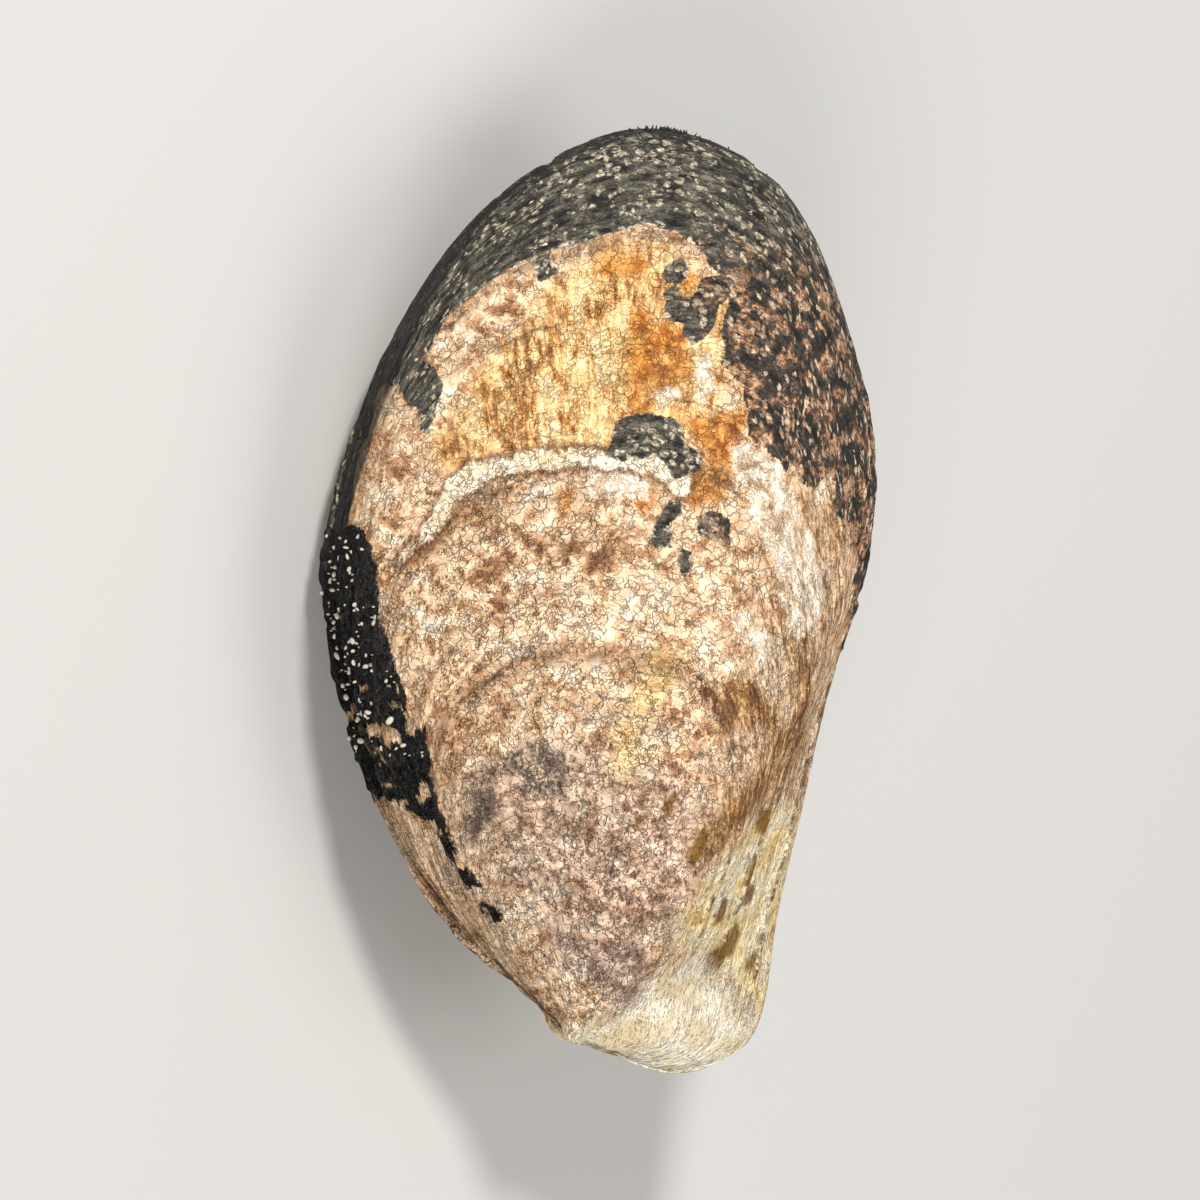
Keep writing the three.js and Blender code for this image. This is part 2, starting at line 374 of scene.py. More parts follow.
def black_zone(plan, bent, slow, quick, seed):
    """The glossy black skin along the back, worn to a net towards the beaks."""
    drift, ragged = slow[:, 0], quick[:, 0]
    black = within(plan + 0.3 * slow, BLACK) + 0.35 * ragged
    net = pebbles(np.stack([*(1.2 * bent.T), 0 * drift], axis=1), 2.7, seed + 27)[0]
    return np.where(plan[:, 1] < 42 + 3 * drift, np.minimum(black, 3.5 * (net - 0.43)), black)


def olive_zone(bent):
    """Small slanting spots."""
    slanted = np.array([[0.6, 0.35], [-1.1, 0.65]])
    spots = [radius - np.hypot(*(slanted @ (bent - [x, y]).T)) for x, y, radius in OLIVE]
    return np.max(spots, axis=0)


def growth_step_shade(age, drift):
    """Painted shade: brown lines on the beak side of the growth checks, where each step falls into shade,
    from 0 to 1.
    """
    step_shade = [rise * np.exp(-((age - check + 1.1 * width + 0.004 * drift) / width) ** 2)
            for check, rise, width in CHECKS]
    return np.clip(1.7 * np.sum(step_shade, axis=0) * (0.8 + 0.7 * drift), 0, 1)


def zones(plan, size, fraction, ring, side):
    """What covers each point: millimetres to the zone's edge, above 0 inside it, or a share from 0 to 1."""
    seed = 11 if side > 0 else 57
    slow = np.stack([fractal(ring, 6.0, seed, 3), fractal(ring, 6.0, seed + 3, 3)], axis=1)
    quick = np.stack([fractal(ring, 1.8, seed + 6, 2), fractal(ring, 1.8, seed + 9, 2)], axis=1)
    bent = plan + 0.8 * slow + 0.6 * quick
    drift = slow[:, 0]
    age = growth_age(size, fraction)
    belly = smoothstep(plan[:, 0], 4, 16)
    lined = smoothstep(fraction, 0.55, 0.62) + 0.45 * smoothstep(fraction, 0.29, 0.22)
    back = open_and_close(fraction, (0.1, 0.2), (0.33, 0.42))
    left = side > 0
    return {
        "skin": skin_zone(plan, bent, ring, drift, slow + quick, belly, side, seed),
        "black": black_zone(plan, bent, slow, quick, seed),
        "gold": within(bent, GOLD),
        "rust": within_any(bent, RUST) if left else within_any(bent + [9, -6], RUST[:4]),
        "ridge": 1.0 + 0.9 * drift - distance_to_path(bent, RIDGE),
        "chalk": within_any(bent, CHALK) - (0 if left else 3),
        "grey": within_any(bent, GREY),
        "cream": within_any(bent, CREAM),
        "brown": within_any(bent, BROWN),
        "slope": within(bent, SLOPE),
        "purple": within(bent, PURPLE),
        "lilac": within(bent, LILAC),
        "olive": olive_zone(bent),
        "smooth": within(bent, UMBO),
        "step_shade": growth_step_shade(age, drift),
        "age": age,
        "lined": lined * smoothstep(size, 0.3, 0.55),
        "belly": belly * smoothstep(plan[:, 1], 98, 86),
        "rim": smoothstep(size, 0.93, 1.0),
        # painted shade: a dark band along the edge where the two valves meet, for the shade in the gap
        # between them, wider along the back
        "gap_shade": smoothstep(size - 0.014 + 0.028 * back, 0.968, 0.984),
        "crowded": smoothstep(plan[:, 0], -4, 12) * smoothstep(plan[:, 1], 82, 95),
    }


def growth_relief(size, ring, zone, seed):
    """Steps, lines and lumps of the shell itself."""
    wander = fractal(ring, 9.0, seed, 3)
    rough = 1 - smoothstep(zone["smooth"], -2.5, 1.0)
    height = 0.5 * fractal(ring, 26.0, seed + 5, 2)
    for age, rise, width in CHECKS:
        offset = zone["age"] - age - 0.005 * wander
        reach = np.where(offset > 0, 0.55 * width, 2.4 * width)
        height = height + 1.05 * rise * rough * (0.75 + 0.7 * wander) * np.exp(-(offset / reach) ** 2)
    growth = np.stack([0.05 * ring[:, 0], 0.05 * ring[:, 1], ring[:, 2] + wander], axis=1)
    crowd = smoothstep(size, 0.84, 0.97)
    height = height + rough * (0.16 + 0.12 * crowd) * fractal(growth, 2.0, seed + 11, 2)
    rays = ring * [1, 1, 0.12]
    combed = smoothstep(zone["gold"], -2, 2)
    height = height + rough * (0.05 + 0.12 * combed) * value_noise(rays, 1.5, seed + 17)
    height = height + 0.12 * combed * value_noise(growth, 1.3, seed + 13)
    height = height + rough * 0.2 * fractal(ring, 4.0, seed + 19, 3)
    dome, number = pebbles(ring, 1.7, seed + 23)
    height = height + rough * 0.2 * (0.5 - dome) * (0.3 + number)
    scallop = pebbles(ring * [1, 1, 0.7], 3.2, seed + 31)[0]
    shelf = np.exp(-((zone["age"] - 0.645) / 0.018) ** 2) + np.exp(-((zone["age"] - 0.46) / 0.03) ** 2)
    return height + rough * 0.35 * shelf * (0.5 - scallop)


def cover_relief(ring, zone, seed):
    """Thickness of the skin and of the lime that lie on the shell."""
    skin = smoothstep(np.maximum(zone["skin"], zone["black"]), -0.3, 0.5)
    flaky = smoothstep(zone["black"], -0.2, 0.6)
    lime = smoothstep(np.maximum(zone["chalk"], zone["ridge"]), -0.3, 0.6)
    height = skin * (SKIN_RISE + SKIN_LUMPS * fractal(ring, 1.7, seed + 41, 2))
    height = height + flaky * FLAKE_RISE * np.abs(fractal(ring, 1.8, seed + 43, 2))
    return height + LIME_RISE * lime


def relief(size, ring, zone, side):
    """Height of the surface above the plain shape, in millimetres. It fades out at the edge."""
    seed = 101 if side > 0 else 157
    height = growth_relief(size, ring, zone, seed) + cover_relief(ring, zone, seed)
    return (height - WORN_BACK) * (1 - 0.75 * smoothstep(size, 0.955, 0.99))


# ---------------------------------------------------------------- meshes

def grid_faces(rows, columns):
    """Quads between neighbouring rings of points, closed round each ring."""
    row, column = np.mgrid[0:rows - 1, 0:columns]
    right = (column + 1) % columns
    quads = [row * columns + column, row * columns + right]
    quads += [(row + 1) * columns + right, (row + 1) * columns + column]
    return np.stack(quads, axis=-1).reshape(-1, 4)


def make_object(name, points, faces):
    mesh = bpy.data.meshes.new(name)
    mesh.from_pydata(points.tolist(), [], faces)
    mesh.validate()
    mesh.polygons.foreach_set("use_smooth", [True] * len(mesh.polygons))
    mesh.update()
    piece = bpy.data.objects.new(name, mesh)
    bpy.context.scene.collection.objects.link(piece)
    return piece


def make_tube(name, rings, side=1):
    """A smooth closed body over rows of rings, each end closed by a fan of triangles."""
    rows, columns = rings.shape[:2]
    ends = [rings[0].mean(axis=0), rings[-1].mean(axis=0)]
    points = np.concatenate([rings.reshape(-1, 3), ends])
    faces = [tuple(face) for face in grid_faces(rows, columns).tolist()]
    last = (rows - 1) * columns
    for column in range(columns):
        following = (column + 1) % columns
        faces.append((len(points) - 2, following, column))
        faces.append((len(points) - 1, last + column, last + following))
    piece = make_object(name, lay_down(points, side), faces)
    if side < 0:
        piece.data.flip_normals()
    return piece


def add_numbers(piece, name, values):
    layer = piece.data.attributes.new(name, "FLOAT", "POINT")
    layer.data.foreach_set("value", np.asarray(values, np.float32))


def add_vectors(piece, name, values):
    layer = piece.data.attributes.new(name, "FLOAT_VECTOR", "POINT")
    layer.data.foreach_set("vector", np.asarray(values, np.float32).ravel())


def add_place(piece):
    """Each point's place in millimetres, for patterns that don't follow the growth lines."""
    metres = np.zeros(len(piece.data.vertices) * 3, np.float32)
    piece.data.vertices.foreach_get("co", metres)
    add_vectors(piece, "place", metres.reshape(-1, 3) / METRES)


def build_valve(name, side):
    """One valve: the outside with its relief, the nicked edge with its band of painted shade, and the plain
    hollow.
    """
    edge, normal = margin_points(COLUMNS)
    fraction = np.arange(COLUMNS) / COLUMNS
    turns = BEAK_TURN * np.linspace(1, 0, OUTER_ROWS) ** 1.5
    outer = outer_surface(edge, normal, turns, fraction)
    size = np.repeat(growth_scale(turns), COLUMNS)
    around = np.tile(fraction, OUTER_ROWS)
    angle = 2 * math.pi * around
    radius = RING_RADIUS * (0.25 + 0.75 * size)
    age_mm = SHELL_LENGTH * growth_age(size, around)
    ring = np.stack([radius * np.cos(angle), radius * np.sin(angle), age_mm], axis=1)
    zone = zones(outer[..., :2].reshape(-1, 2), size, around, ring, side)
    height = relief(size, ring, zone, side).reshape(OUTER_ROWS, COLUMNS)
    height *= smoothstep(growth_scale(turns), 0.02, 0.08)[:, None]
    shaped = outer + surface_normals(outer) * height[..., None]
    edge_height = CLEARANCE / 2 + hinge_lift(fraction) * growth_scale(turns)[:, None]
    shaped[..., 2] = np.maximum(shaped[..., 2], edge_height)
    nicks = smoothstep(fractal(ring[-COLUMNS:], 4.0, 71, 2), 0.1, 0.6)
    pull = 0.5 * nicks * smoothstep(growth_scale(turns), 0.975, 1)[:, None]
    shaped[..., :2] -= normal * pull[..., None]
    inner_turns = CAVITY_TURN * np.linspace(0, 1, INNER_ROWS) ** 1.3
    inner = inner_surface(edge, normal, inner_turns, fraction)
    piece = make_tube(name, np.concatenate([shaped, inner]), side)
    inside = INNER_ROWS * COLUMNS
    for key, values in zone.items():
        add_numbers(piece, key, np.concatenate([values, np.full(inside, -9.0), values[:1], [-9.0]]))
    add_numbers(piece, "hollow", np.concatenate([np.zeros(len(size)), np.ones(inside), [0, 1]]))
    add_vectors(piece, "ring", np.concatenate([ring, np.zeros((inside, 3)), ring[:1], np.zeros((1, 3))]))
    return piece, {"points": shaped.reshape(-1, 3), "normals": surface_normals(shaped).reshape(-1, 3),
                   "black": zone["black"], "size": size}


def speck_rings(centre, normal, rng):
    """The rings of one small dome, from under the skin to near its top."""
    heading = np.cross(normal, rng.normal(size=3))
    heading /= np.linalg.norm(heading)
    across = np.cross(normal, heading)
    length = 0.12 + 0.4 * rng.uniform() ** 2
    width = length * rng.uniform(0.45, 0.9)
    points = []
    for reach, rise in ((0.9, -0.5), (1.0, 0.1), (0.8, 0.6), (0.4, 0.92)):
        for turn in np.linspace(0, 2 * math.pi, SPECK_SIDES, endpoint=False):
            wobble = reach * (1 + 0.12 * math.sin(2 * turn + length * 40))
            offset = heading * length * math.cos(turn) + across * width * math.sin(turn)
            points.append(centre + offset * wobble + normal * SPECK_RISE * rise)
    return points


def build_specks(name, surface, side):
    """Small pale domes stuck on the black skin along the back, partly pale grains and partly painted glints
    of that glossy skin.
    """
    rng = np.random.default_rng(5 if side > 0 else 6)
    y = surface["points"][:, 1]
    allowed = np.flatnonzero((surface["black"] > 0.5) & (y > 34) & (y < 61) & (surface["size"] < 0.985))
    points, faces = [], []
    for index in rng.choice(allowed, SPECKS, replace=False):
        centre, normal = surface["points"][index], surface["normals"][index]
        start = len(points)
        points += speck_rings(centre, normal, rng)
        top, bottom = len(points), len(points) + 1
        points += [centre + normal * SPECK_RISE, centre - normal * 0.2]
        for k in range(SPECK_SIDES):
            following = (k + 1) % SPECK_SIDES
            for row in range(3):
                low = start + SPECK_SIDES * row
                high = low + SPECK_SIDES
                faces.append((low + k, low + following, high + following, high + k))
            faces.append((start + 3 * SPECK_SIDES + k, start + 3 * SPECK_SIDES + following, top))
            faces.append((start + following, start + k, bottom))
    piece = make_object(name, lay_down(np.array(points), side), faces)
    if side < 0:
        piece.data.flip_normals()
    return piece


def thread_points(edge, normal, tufted, rng):
    """Three rings of three points and a tip, for one thread that stands out from the edge."""
    fraction = rng.normal(TUFT_PLACE, 0.006) if tufted else rng.uniform(0.3, 0.66)
    index = int(fraction * len(edge))
    length = rng.uniform(0.1, 0.55) if tufted else rng.uniform(0.0, 0.15)
    tangent = np.array([normal[index][1], -normal[index][0]])
    plan = normal[index] + tangent * rng.normal(0, 0.5)
    heading = np.array([*plan, rng.normal(0.2, 0.5)])
    heading /= np.linalg.norm(heading)
    sag = length * np.array([*tangent * rng.normal(0, 0.35), rng.normal(0, 0.3)])
    root = np.array([*edge[index] - THREAD_ROOT * normal[index], rng.uniform(0.3, 1.0)])
    side_one = np.cross(heading, [0.3, 0.2, 0.9])
    side_two = np.cross(heading, side_one)
    points = []
    for share in (0.0, 0.35, 0.7):
        middle = root + heading * (THREAD_ROOT + length) * share + sag * share ** 2
        for turn in np.linspace(0, 2 * math.pi, 3, endpoint=False):
            spread = side_one * math.cos(turn) + side_two * math.sin(turn)
            points.append(middle + spread * rng.uniform(0.12, 0.3) * (1 - 0.6 * share))
    return points + [root + heading * (THREAD_ROOT + length) + sag]


def build_fringe():
    """Short dry threads of skin standing out from the hind edge, with a small tuft of them."""
    rng = np.random.default_rng(9)
    edge, normal = margin_points(FINE_STATIONS)
    points, faces = [], []
    for thread in range(FRINGE_THREADS + TUFT_THREADS):
        start = len(points)
        points += thread_points(edge, normal, thread >= FRINGE_THREADS, rng)
        tip = len(points) - 1
        faces.append((start + 2, start + 1, start))
        for k in range(3):
            following = (k + 1) % 3
            for row in range(2):
                low = start + 3 * row
                faces.append((low + k, low + following, low + 3 + following, low + 3 + k))
            faces.append((start + 6 + k, start + 6 + following, tip))
    return make_object("skin_fringe", lay_down(np.array(points), 1), faces)


def build_ligament():
    """The dried band in the slit along the back, wrinkled lengthwise and thinning at both ends."""
    stations, sides = 260, 28
    edge, normal = margin_points(FINE_STATIONS)
    fraction = np.linspace(*LIGAMENT_SPAN, stations)
    index = (fraction * FINE_STATIONS).astype(int)
    half = hinge_lift(fraction)[:, None] - CLEARANCE / 2
    angle = np.linspace(0, 2 * math.pi, sides, endpoint=False)[None, :]
    outward = np.sign(np.cos(angle)) * np.abs(np.cos(angle)) ** 0.7
    taper = np.linspace(0, 1, stations)[:, None]
    proud = LIGAMENT_PROUD * (0.15 + 0.85 * smoothstep(taper, 0, 0.12) * (1 - smoothstep(taper, 0.75, 1)))
    lengthwise = fraction[:, None] * 70 + 0 * angle
    rope = np.stack([lengthwise, 3 * np.cos(angle) + 0 * half, 3 * np.sin(angle) + 0 * half], axis=-1)
    wrinkle = 0.35 * fractal(rope.reshape(-1, 3), 1.3, 5, 3).reshape(stations, sides)
    reach = np.where(outward > 0, (proud + wrinkle - 0.2) * outward, LIGAMENT_DEPTH * outward)
    height = half * np.sign(np.sin(angle)) * np.abs(np.sin(angle)) ** 0.6
    flat = edge[index][:, None, :] + normal[index][:, None, :] * reach[..., None]
    return make_tube("ligament_band", np.concatenate([flat, height[..., None]], axis=-1))


# ---------------------------------------------------------------- materials

def linear(code):
    """A linear colour from a screen colour written as six hex digits."""
    values = [int(code[k:k + 2], 16) / 255 for k in (0, 2, 4)]
    return [v / 12.92 if v <= 0.04045 else ((v + 0.055) / 1.055) ** 2.4 for v in values] + [1.0]


class Nodes:
    """Short names for the shader nodes a material is put together from."""

    def __init__(self, material):
        self.tree = material.node_tree
        self.shader = next(n for n in self.tree.nodes if n.type == "BSDF_PRINCIPLED")

    def feed(self, socket, value):
        if isinstance(value, bpy.types.NodeSocket):
            self.tree.links.new(value, socket)
        else:
            socket.default_value = value

    def vector(self, name):
        node = self.tree.nodes.new("ShaderNodeAttribute")
        node.attribute_name = name
        return node.outputs["Vector"]

    def number(self, name):
        node = self.tree.nodes.new("ShaderNodeAttribute")
        node.attribute_name = name
        return node.outputs["Fac"]

    def math(self, operation, first, second=0.0):
        node = self.tree.nodes.new("ShaderNodeMath")
        node.operation = operation
        self.feed(node.inputs[0], first)
        self.feed(node.inputs[1], second)
        return node.outputs[0]

    def add(self, first, second):
        return self.math("ADD", first, second)

    def times(self, first, second):
        return self.math("MULTIPLY", first, second)

    def step(self, value, low, high):
        node = self.tree.nodes.new("ShaderNodeMapRange")
        node.interpolation_type = "SMOOTHSTEP"
        self.feed(node.inputs["Value"], value)
        node.inputs["From Min"].default_value = low
        node.inputs["From Max"].default_value = high
        return node.outputs["Result"]

    def stretch(self, vector, scale):
        node = self.tree.nodes.new("ShaderNodeMapping")
        self.feed(node.inputs["Vector"], vector)
        node.inputs["Scale"].default_value = scale
        return node.outputs["Vector"]

    def bend(self, vector, size, amount):
        """The vector moved about by noise of the given size."""
        noise = self.tree.nodes.new("ShaderNodeTexNoise")
        self.feed(noise.inputs["Vector"], vector)
        noise.inputs["Scale"].default_value = 1 / size
        noise.inputs["Detail"].default_value = 2.0
        node = self.tree.nodes.new("ShaderNodeVectorMath")
        node.operation = "MULTIPLY_ADD"
        self.feed(node.inputs[0], noise.outputs["Color"])
        node.inputs[1].default_value = (amount, amount, amount)
        self.feed(node.inputs[2], vector)
        return node.outputs[0]

    def noise(self, vector, size, detail=3.0, roughness=0.55):
        node = self.tree.nodes.new("ShaderNodeTexNoise")
        self.feed(node.inputs["Vector"], vector)
        node.inputs["Scale"].default_value = 1 / size
        node.inputs["Detail"].default_value = detail
        node.inputs["Roughness"].default_value = roughness
        return node.outputs["Fac"]

    def cells(self, vector, size, feature="F1", output="Distance"):
        node = self.tree.nodes.new("ShaderNodeTexVoronoi")
        node.feature = feature
        self.feed(node.inputs["Vector"], vector)
        node.inputs["Scale"].default_value = 1 / size
        return node.outputs[output]

    def seams(self, vector, size, width):
        """Thin wandering lines, 1 on the line."""
        offset = self.math("ABSOLUTE", self.math("SUBTRACT", self.noise(vector, size, 2.0), 0.5))
        return self.step(offset, width, 0.3 * width)

    def ramp(self, value, *stops):
        node = self.tree.nodes.new("ShaderNodeValToRGB")
        elements = node.color_ramp.elements
        while len(elements) < len(stops):
            elements.new(0.5)
        for element, (place, code) in zip(elements, stops):
            element.position = place
            element.color = linear(code)
        self.feed(node.inputs["Fac"], value)
        return node.outputs["Color"]

    def mix(self, share, under, over):
        node = self.tree.nodes.new("ShaderNodeMix")
        node.data_type = "RGBA"
        self.feed(node.inputs["Factor"], share)
        self.feed(node.inputs["A"], under)
        self.feed(node.inputs["B"], over)
        return node.outputs["Result"]

    def blend(self, share, under, over):
        """The same between two numbers."""
        node = self.tree.nodes.new("ShaderNodeMix")
        self.feed(node.inputs["Factor"], share)
        self.feed(node.inputs["A"], under)
        self.feed(node.inputs["B"], over)
        return node.outputs["Result"]

    def bump(self, height, distance, strength=1.0):
        node = self.tree.nodes.new("ShaderNodeBump")
        node.inputs["Strength"].default_value = strength
        node.inputs["Distance"].default_value = distance
        self.feed(node.inputs["Height"], height)
        self.feed(self.shader.inputs["Normal"], node.outputs["Normal"])


def new_material(name, roughness):
    material = bpy.data.materials.new(name)
    material.use_nodes = True
    nodes = Nodes(material)
    nodes.shader.inputs["Roughness"].default_value = roughness
    return material, nodes


class ValvePatterns:
    """The noises that the layers of a valve share."""

    def __init__(self, n):
        self.n = n
        self.ring = n.vector("ring")
        self.place = n.vector("place")
        self.along = n.stretch(self.ring, (0.3, 0.3, 1))
        self.across = n.stretch(self.ring, (1, 1, 0.1))
        self.lined = n.number("lined")
        self.lumps = n.noise(self.place, 4.0, 2)
        self.mottle = n.noise(self.place, 1.9, 5, 0.72)
        self.fine = n.noise(self.place, 0.5, 3, 0.7)
        self.streak = n.noise(self.along, 1.1, 5, 0.72)
        self.lines = n.noise(n.bend(n.stretch(self.ring, (0.06, 0.06, 1)), 6.0, 1.2), 0.9, 4, 0.75)
        self.tone = n.blend(self.lined, self.mottle, self.streak)
        broad = n.noise(self.place, 9.0, 4, 0.6)
        large = n.add(n.times(broad, 0.2), n.times(self.lumps, 0.2))
        self.shade = n.add(n.times(self.tone, 0.6), large)
        self.seams = self.make_seams()
        grain = n.add(n.times(self.fine, 0.5), n.times(self.mottle, 0.5))
        self.ragged = n.times(n.math("SUBTRACT", grain, 0.5), 3.0)

    def make_seams(self):
        """Fine cracks between the grains, running along the growth lines near the belly edge."""
        n = self.n
        cracks = n.blend(self.lined, n.seams(self.place, 2.3, 0.012), n.seams(self.along, 1.2, 0.02))
        small = n.times(n.seams(self.place, 0.95, 0.02), n.step(self.mottle, 0.56, 0.44))
        gaps = n.step(n.cells(n.bend(self.place, 1.5, 2.6), 1.9, "DISTANCE_TO_EDGE"), 0.06, 0.0)
        gaps = n.times(n.times(gaps, 0.8), n.step(self.lumps, 0.42, 0.55))
        return n.math("MAXIMUM", n.math("MAXIMUM", cracks, small), gaps)

    def zone(self, key, soft=0.25, wander=1.0):
        """1 inside a zone and 0 outside it, across a ragged edge."""
        distance = self.n.add(self.n.number(key), self.n.times(self.ragged, wander))
        return self.n.step(distance, -soft, soft)


def shell_layers(n, p):
    """Granular tan shell with the zones of other colours laid over it."""
    shade, tone = p.shade, p.tone
    base = n.ramp(
        shade, (0.39, "7E5539"), (0.45, "C2946B"), (0.49, "E9C49C"), (0.55, "FBDFBC"), (0.62, "FFF3DF"),
    )
    brown = n.ramp(tone, (0.4, "4E2C14"), (0.47, "8A5A28"), (0.52, "B98648"), (0.6, "E3BC84"))
    rays = n.times(n.noise(p.across, 0.9, 4, 0.75), 0.5)
    comb = n.add(n.add(rays, n.times(p.mottle, 0.25)), n.times(n.noise(p.across, 3.2, 2), 0.25))
    gold = n.ramp(
        comb, (0.4, "7A4617"), (0.455, "C08440"), (0.5, "EDBE7C"), (0.55, "FDD89C"), (0.62, "FFEDC2"),
    )
    pink = n.noise(p.place, 1.7, 4, 0.7)
    lilac = n.ramp(pink, (0.43, "6B554F"), (0.48, "B08C80"), (0.52, "E3BFAC"), (0.58, "F7DCC6"))
    soft_tone = n.add(n.times(p.lumps, 0.6), n.times(p.streak, 0.4))
    slope = n.ramp(soft_tone, (0.36, "D9B474"), (0.46, "F8DFA8"), (0.58, "FFF3D2"))
    cream = n.ramp(shade, (0.38, "BF9456"), (0.44, "E8C282"), (0.5, "F8DA9A"), (0.6, "FDEDC2"))
    grey = n.ramp(p.mottle, (0.42, "453D39"), (0.49, "75685E"), (0.54, "B79F88"), (0.6, "E6CBAC"))
    purple = n.ramp(shade, (0.38, "5C4840"), (0.45, "8B6E60"), (0.5, "AE9182"), (0.6, "D8BCA6"))
    rust = n.ramp(shade, (0.38, "6E360C"), (0.45, "B0661C"), (0.5, "CE8632"), (0.58, "E8AE62"))
    colour = n.mix(n.times(p.lined, 0.25), base, brown)
    for key, layer, strength, soft in (
        ("lilac", lilac, 0.5, 2.5), ("slope", slope, 0.95, 2.2), ("cream", cream, 0.75, 1.2),
        ("gold", gold, 0.92, 1.4), ("grey", grey, 0.85, 1.0), ("brown", brown, 0.9, 1.0),
        ("purple", purple, 0.9, 1.0), ("rust", rust, 0.9, 0.7),
    ):
        colour = n.mix(n.times(p.zone(key, soft), strength), colour, layer)
    return colour


def shell_marks(n, p, colour):
    """Spots, growth lines, painted shade below the growth steps and along the pale ridge, cracks, the pale
    ridge, the chalk and the smooth beak.
    """
    spots = n.times(n.step(n.noise(p.place, 1.5, 2, 0.6), 0.56, 0.61), p.zone("lilac", 3.5))
    colour = n.mix(n.times(spots, 0.5), colour, linear("705F55"))
    # painted shade: dark brown on the beak side of each growth step
    colour = n.mix(n.times(n.number("step_shade"), n.step(p.mottle, 0.42, 0.56)), colour, linear("70461F"))
    off_slope = n.math("SUBTRACT", 1.0, n.times(p.zone("slope", 2.0), 0.8))
    fine_lines = n.times(n.times(n.step(p.lines, 0.45, 0.34), 0.55), off_slope)
    colour = n.mix(fine_lines, colour, linear("7A5230"))
    # painted shade: a dark brown line along both sides of the raised pale ridge
    outline = n.step(n.add(n.number("ridge"), n.times(p.ragged, 0.7)), -1.2, -0.3)
    colour = n.mix(n.times(outline, 0.7), colour, linear("704520"))
    ridge = n.ramp(p.shade, (0.38, "D3AD80"), (0.46, "F2D8B2"), (0.58, "FFF0D8"))
    colour = n.mix(p.zone("ridge", 0.3, 0.8), colour, ridge)
    cracked = n.math("SUBTRACT", off_slope, n.times(p.zone("gold", 1.0), 0.4))
    colour = n.mix(n.times(n.times(p.seams, 0.66), cracked), colour, linear("53341D"))
    chalk = n.ramp(p.tone, (0.38, "A98868"), (0.45, "D8BC9C"), (0.52, "EFDCC4"), (0.62, "FBF2E4"))
    colour = n.mix(n.times(p.zone("chalk", 0.5), 0.93), colour, chalk)
    colour = n.mix(n.times(p.zone("olive", 0.35, 0.5), 0.9), colour, linear("7C5414"))
    smooth = n.ramp(p.lumps, (0.36, "CCB993"), (0.5, "DED0B2"), (0.64, "ECE2CC"))
    return n.mix(n.times(p.zone("smooth", 2.4), 0.96), colour, smooth)


def skin_layer(n, p):
    """The grey skin, rusty on the belly side, with dark lines and pale grains. Also the grains' places."""
    belly, rim = n.number("belly"), n.number("rim")
    beads = n.bend(n.stretch(p.ring, (0.7, 0.7, 1)), 0.9, 1.3)
    chance = n.cells(beads, 0.85, "F1", "Color")
    crowd = n.add(n.times(rim, 0.2), n.times(n.number("crowded"), 0.16))
    crowd = n.add(crowd, n.times(n.math("SUBTRACT", p.lumps, 0.5), 0.8))
    body = n.step(n.cells(beads, 0.85), 0.56, 0.34)
    grains = n.times(body, n.step(n.add(chance, crowd), 0.54, 0.6))
    grey = n.ramp(p.streak, (0.38, "1C1914"), (0.46, "45413A"), (0.54, "625D50"), (0.64, "8B8371"))
    stain = n.noise(n.bend(p.place, 1.6, 1.4), 2.4, 3, 0.7)
    rusty = n.ramp(
        stain, (0.42, "1B1714"), (0.49, "40372F"), (0.54, "6B5242"), (0.575, "B37848"), (0.62, "DDB08A"),
    )
    skin = n.mix(n.times(belly, 0.8), grey, rusty)
    pale = n.ramp(p.fine, (0.4, "8E8069"), (0.5, "BFB196"), (0.6, "E6DAC0"))
    warm = n.ramp(chance, (0.4, "5E4A3C"), (0.52, "A07C60"), (0.6, "CF8A58"), (0.68, "E3C3A4"))
    inland = n.times(n.times(belly, 0.8), n.math("SUBTRACT", 1.0, rim))
    skin = n.mix(n.times(grains, 0.92), skin, n.mix(inland, pale, warm))
    dark = n.math("MAXIMUM", n.step(p.lines, 0.48, 0.4), n.seams(p.along, 0.7, 0.04))
    return n.mix(n.times(dark, n.blend(rim, 0.6, 0.95)), skin, linear("120F0C")), grains


def valve_material(name):
    """Worn shell: granular tan and cream layers, stains, chalk, and the dark skin where it is left."""
    material, n = new_material(name, 0.7)
    n.shader.inputs["Specular IOR Level"].default_value = 0.3
    p = ValvePatterns(n)
    skin, grains = skin_layer(n, p)
    black = n.ramp(p.fine, (0.4, "0A0908"), (0.55, "171412"), (0.68, "3A332D"))
    on_black = p.zone("black", 0.12, 0.5)
    colour = shell_marks(n, p, shell_layers(n, p))
    colour = n.mix(p.zone("skin", 0.12, 0.4), colour, skin)
    colour = n.mix(on_black, colour, black)
    # painted shade in the gap between the valves: near black along the edge of each valve
    colour = n.mix(n.times(n.number("gap_shade"), 0.85), colour, linear("100C0A"))
    n.feed(n.shader.inputs["Base Color"], n.mix(n.number("hollow"), colour, linear("C9C4C6")))

    rough = n.math("SUBTRACT", n.add(0.6, n.times(p.fine, 0.25)), n.times(on_black, 0.5))
    n.feed(n.shader.inputs["Roughness"], rough)
    height = n.add(n.times(p.seams, -0.8), n.times(p.fine, 0.5))
    height = n.add(height, n.add(n.times(p.lines, 0.9), n.times(p.tone, 1.4)))
    height = n.add(height, n.times(n.times(grains, n.number("skin")), 0.2))
    height = n.times(height, n.math("SUBTRACT", 1.0, n.times(p.zone("smooth", 2.4), 0.75)))
    n.bump(height, 0.00035, 1.0)
    return material


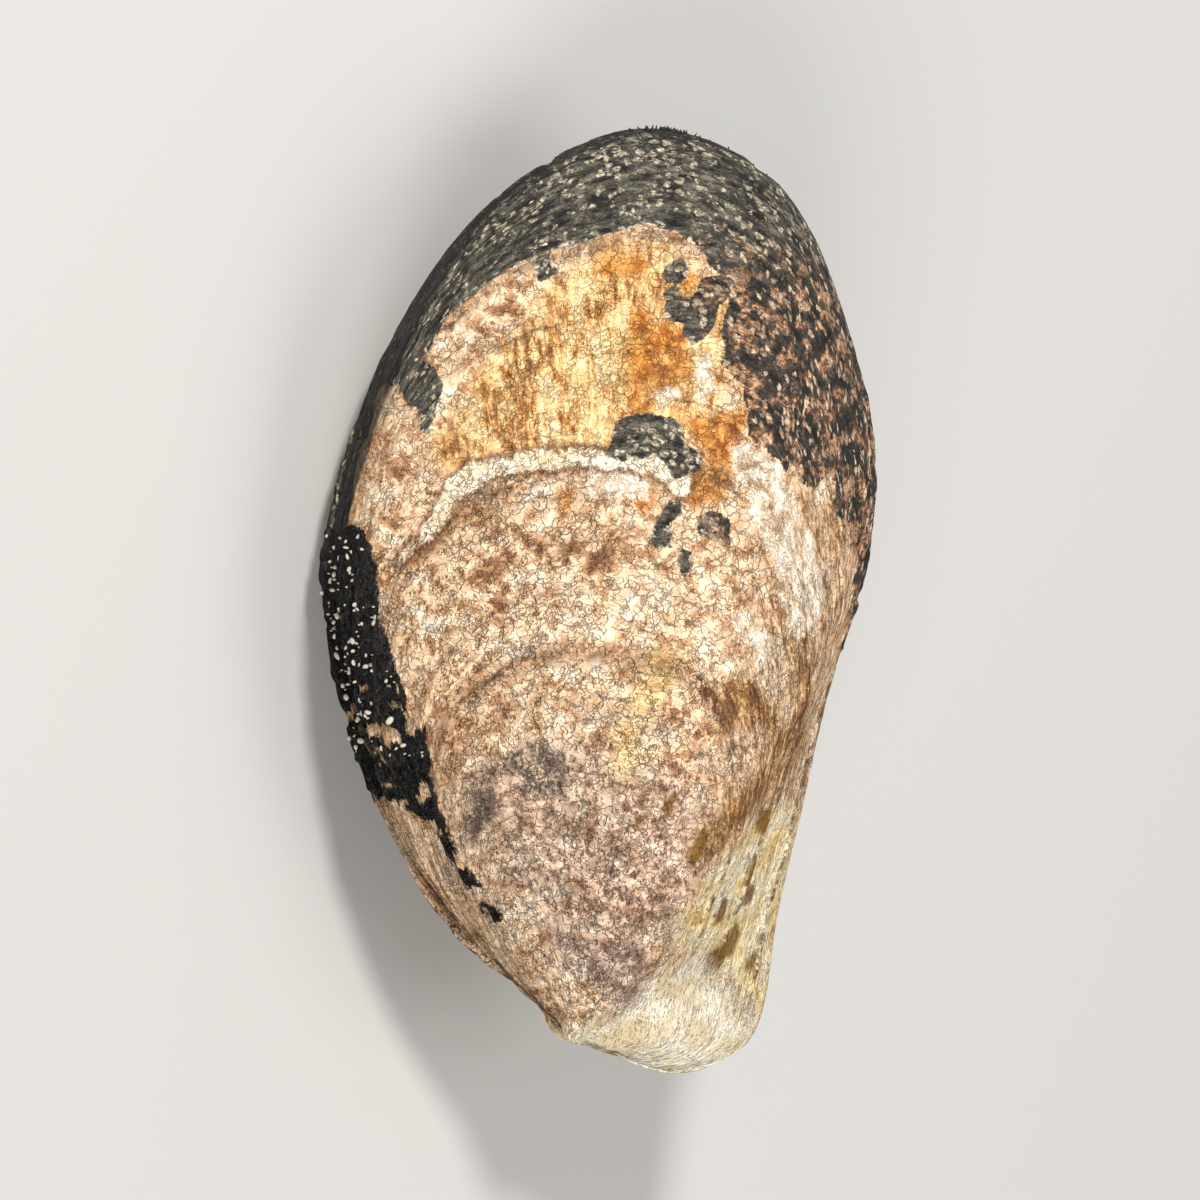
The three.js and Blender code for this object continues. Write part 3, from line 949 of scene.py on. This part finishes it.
def ligament_material():
    material, n = new_material("dried_ligament", 0.4)
    streak = n.noise(n.vector("place"), 0.8, 4, 0.6)
    brown = n.ramp(streak, (0.35, "0E0A09"), (0.55, "241813"), (0.75, "4A3527"))
    n.feed(n.shader.inputs["Base Color"], brown)
    n.bump(streak, 0.0002, 0.8)
    return material


def plain_material(name, code, roughness):
    material, n = new_material(name, roughness)
    n.shader.inputs["Base Color"].default_value = linear(code)
    return material


# ---------------------------------------------------------------- stage

def build_floor():
    reach = 1.6  # metres to each side
    corners = np.array([(-reach, -reach, 0), (reach, -reach, 0), (reach, reach, 0), (-reach, reach, 0)])
    floor = make_object("floor", corners, [(0, 1, 2, 3)])
    floor.data.materials.append(plain_material("pale_floor", "B8B6B2", 0.9))


def add_light(name, place, aim, size, power):
    lamp = bpy.data.lights.new(name, "AREA")
    lamp.shape = "DISK"
    lamp.size = size
    lamp.energy = power
    holder = bpy.data.objects.new(name, lamp)
    holder.location = place
    holder.rotation_euler = (Vector(aim) - Vector(place)).to_track_quat("-Z", "Y").to_euler()
    bpy.context.scene.collection.objects.link(holder)


def build_lights():
    shell_middle = (0, 0, 0.02)
    add_light("key", (-0.25, 0.6, 0.7), shell_middle, 0.16, 8.4)
    add_light("fill", (-0.6, -0.75, 0.6), shell_middle, 0.6, 8.8)
    add_light("top", (0.4, -0.15, 0.9), shell_middle, 0.6, 3.2)
    world = bpy.data.worlds.new("studio")
    world.use_nodes = True
    world.node_tree.nodes["Background"].inputs["Color"].default_value = (1.0, 0.99, 0.97, 1)
    world.node_tree.nodes["Background"].inputs["Strength"].default_value = 0.35
    bpy.context.scene.world = world


VIEW_TILT = math.radians(18)  # how far the view leans to the back edge from square to the valves
VIEW_DISTANCE = 520.0
VIEW_CENTRE = (3.2, 52.0)  # across and along the shell, as the view sees it
VIEW_WIDTH = 139.2  # of the picture, at the distance it looks at
VIEW_HEIGHT = 10.0  # of that distance, above the plane between the valves


def build_camera():
    across = np.array([math.cos(VIEW_TILT), 0, math.sin(VIEW_TILT)])
    toward = np.array([-math.sin(VIEW_TILT), 0, math.cos(VIEW_TILT)])
    upright = np.array([0.0, 1.0, 0.0])
    target = VIEW_CENTRE[0] * across + VIEW_CENTRE[1] * upright + VIEW_HEIGHT * toward
    eye = target + VIEW_DISTANCE * toward
    placed = [lay_down(point[None, :], 1)[0] for point in (target, eye, target + upright)]
    back = Vector(placed[1] - placed[0]).normalized()
    up = Vector(placed[2] - placed[0]).normalized()
    side = up.cross(back)
    lens = bpy.data.cameras.new("camera")
    lens.sensor_width = 36.0
    lens.lens = 36.0 * VIEW_DISTANCE / VIEW_WIDTH
    lens.clip_start = 0.01
    camera = bpy.data.objects.new("camera", lens)
    turn = np.array([side, up, back]).T
    camera.matrix_world = Matrix([[*turn[k], placed[1][k]] for k in range(3)] + [[0, 0, 0, 1]])
    bpy.context.scene.collection.objects.link(camera)
    bpy.context.scene.camera = camera


def finish_piece(piece, material, node):
    add_place(piece)
    piece.data.materials.append(material)
    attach(piece, "root")
    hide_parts(node)


def main():
    build_camera()
    build_floor()
    build_lights()
    bpy.context.scene.view_settings.view_transform = "Standard"
    # pale speck colour, partly a painted highlight: the glints of the glossy black skin
    pale = plain_material("pale_specks_and_glints", "BFB7A5", 0.35)
    threads = plain_material("dry_skin_threads", "2E2822", 0.8)
    for node, side in (("left_valve", 1), ("right_valve", -1)):
        piece, surface = build_valve(node + "_shell", side)
        finish_piece(piece, valve_material(node + "_layers"), node)
        finish_piece(build_specks(node + "_specks", surface, side), pale, node)
    finish_piece(build_fringe(), threads, "left_valve")
    finish_piece(build_ligament(), ligament_material(), "ligament")


main()
